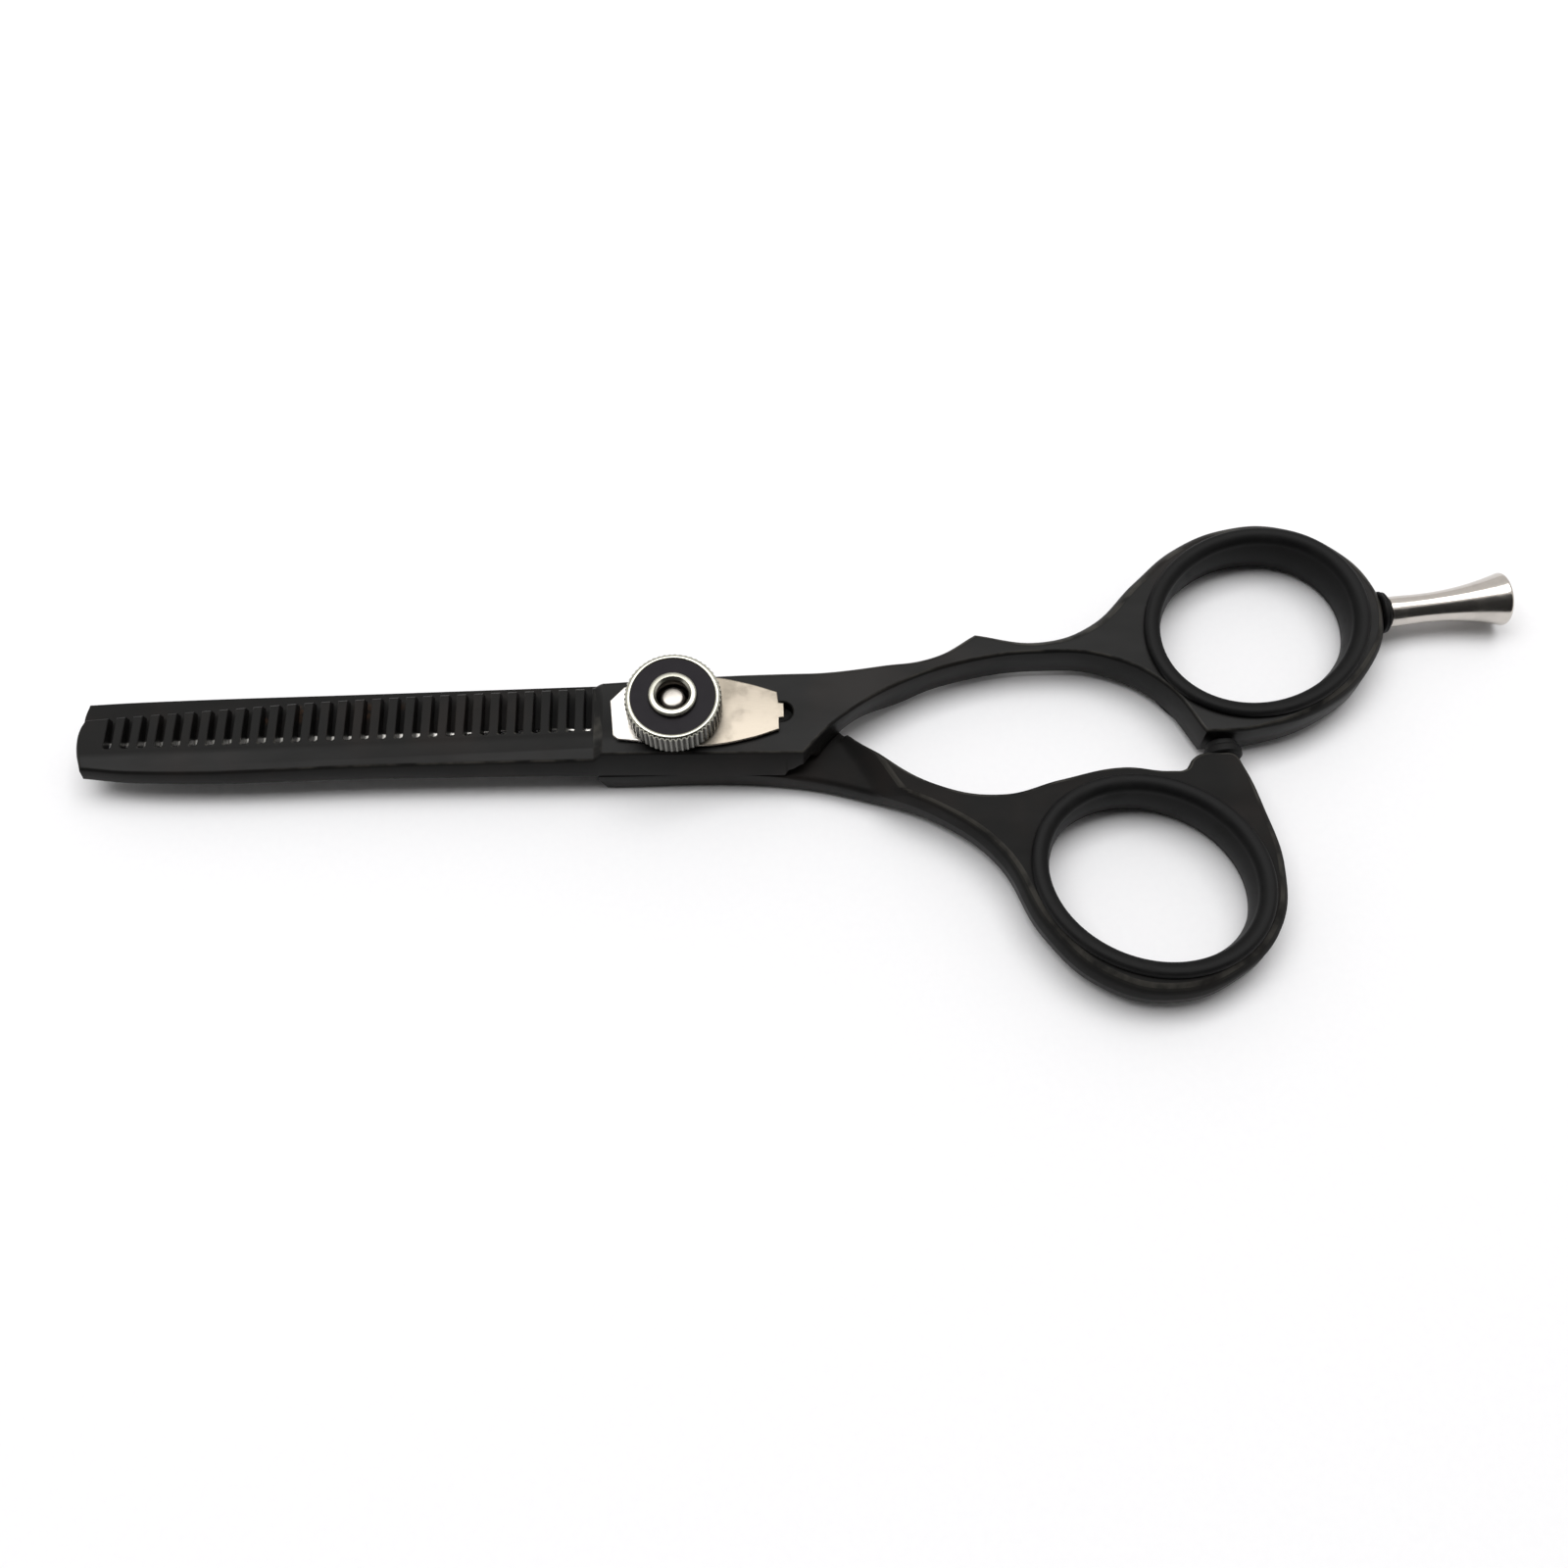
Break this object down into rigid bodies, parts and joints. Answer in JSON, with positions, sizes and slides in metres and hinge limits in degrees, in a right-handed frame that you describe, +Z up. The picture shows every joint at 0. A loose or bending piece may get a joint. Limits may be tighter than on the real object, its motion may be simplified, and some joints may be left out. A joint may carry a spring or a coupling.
{
  "type": "thinning shears",
  "caption": "Hair thinning shears with a toothed blade over a plain blade, a knurled tension dial, ring inserts, a rubber bumper and a finger rest.",
  "frame": {"origin": "on the pivot axis, at the flat underside of the pivot screw's head, which is the plane that the shears lie on", "axes": "+X along the closed shears towards the rings, +Y towards the finger ring, +Z up through the dial"},
  "size_m": [0.1549, 0.0538, 0.011],
  "materials": {
    "black_coat": "satin black coating on stainless steel, slightly worn at the edges",
    "black_rubber": "smooth matt rubber",
    "silver_steel": "turned and lightly polished",
    "plate_steel": "fine brushed spring steel",
    "white_nylon": "plain nylon",
    "black_inlay": "semi-gloss black"
  },
  "bodies": {
    "held_half": {"comb_half": "black_coat", "finger_ring_insert": "black_rubber", "finger_rest": "silver_steel", "finger_rest_collar": "black_rubber", "pivot_screw": "silver_steel", "click_plate": "plate_steel"},
    "thumb_half": {"straight_half": "black_coat", "thumb_ring_insert": "black_rubber", "pivot_bush": "white_nylon", "bumper": "black_rubber"},
    "dial": {"tension_dial": "silver_steel", "dial_nut": "silver_steel", "dial_inlay": "black_inlay"}
  },
  "joints": [
    {"name": "blade_pivot", "type": "hinge", "parent": "held_half", "child": "thumb_half", "pos_m": [0, 0, 0], "axis": [0, 0, -1], "range_deg": [0, 75]},
    {"name": "dial_turn", "type": "hinge", "parent": "held_half", "child": "dial", "pos_m": [0, 0, 0.0085], "axis": [0, 0, 1], "range_deg": [-180, 180]}
  ]
}
